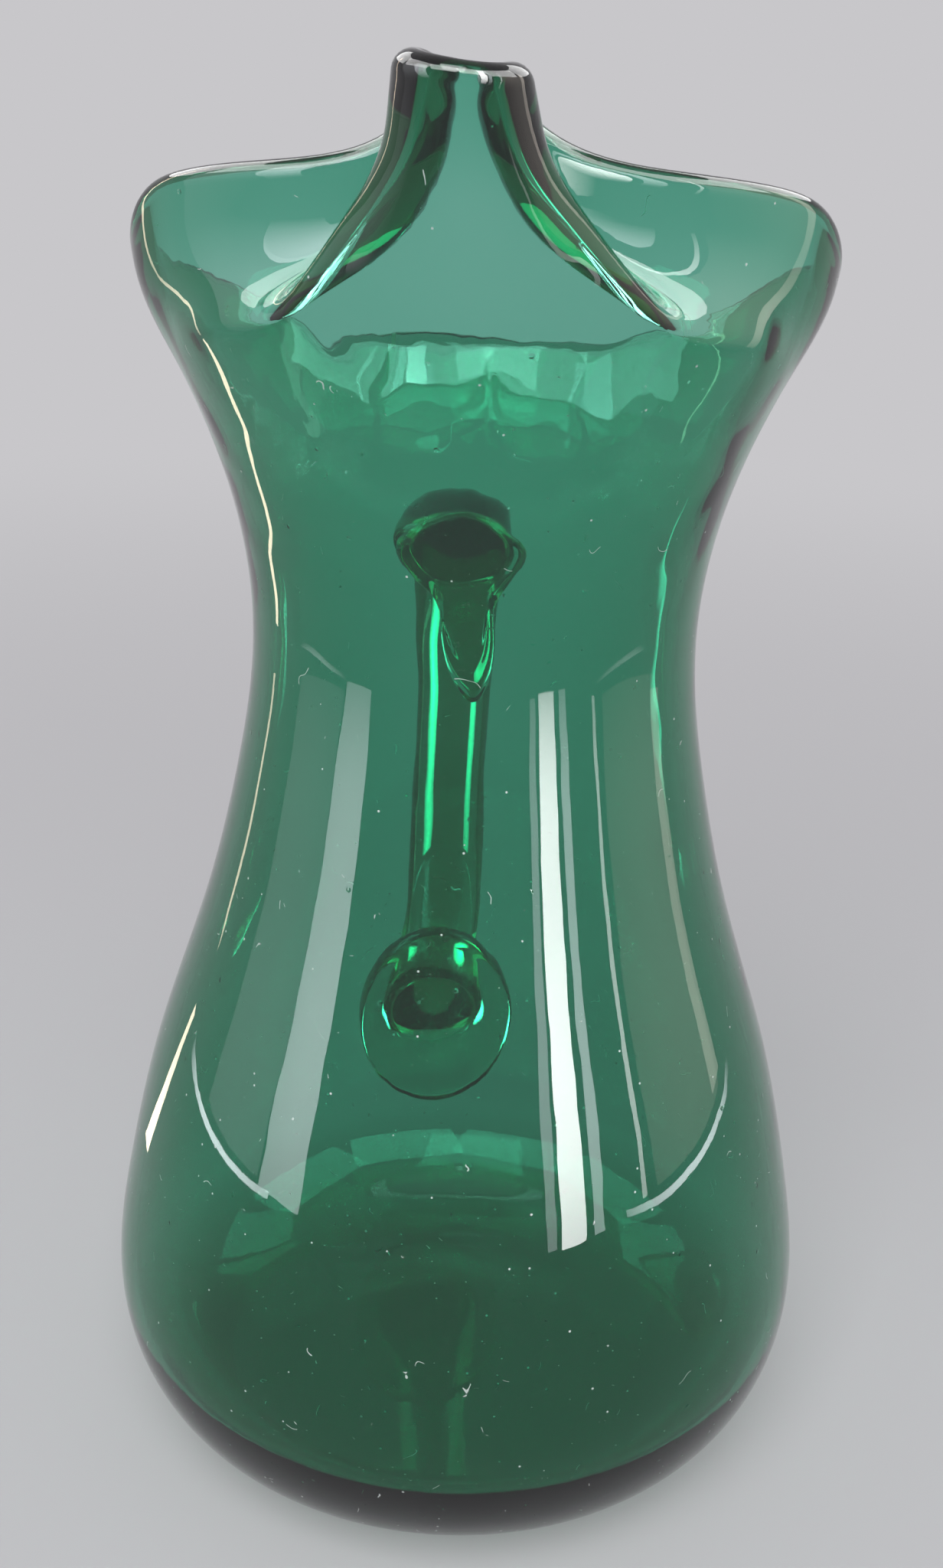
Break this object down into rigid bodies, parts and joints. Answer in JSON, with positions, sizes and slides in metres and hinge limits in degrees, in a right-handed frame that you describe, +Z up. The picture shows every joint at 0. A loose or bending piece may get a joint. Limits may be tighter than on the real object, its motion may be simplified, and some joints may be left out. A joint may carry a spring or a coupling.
{
  "type": "glass pitcher",
  "caption": "Mouth-blown hourglass pitcher in deep green glass, with a slanted mouth drawn out into a pinched beak and an applied solid glass handle",
  "frame": {"origin": "in the middle of the flat foot, on the plane that the pitcher stands on", "axes": "+Z up along the body's axis, -Y towards the beak, +Y towards the handle, +X to the right as seen from the beak's side"},
  "size_m": [0.116, 0.1557, 0.2218],
  "materials": {
    "green_glass": "fire_polished"
  },
  "bodies": {
    "root": {"pitcher_body": "green_glass", "handle_lower_pad": "green_glass", "handle_rod": "green_glass", "handle_upper_tail": "green_glass"}
  },
  "joints": []
}
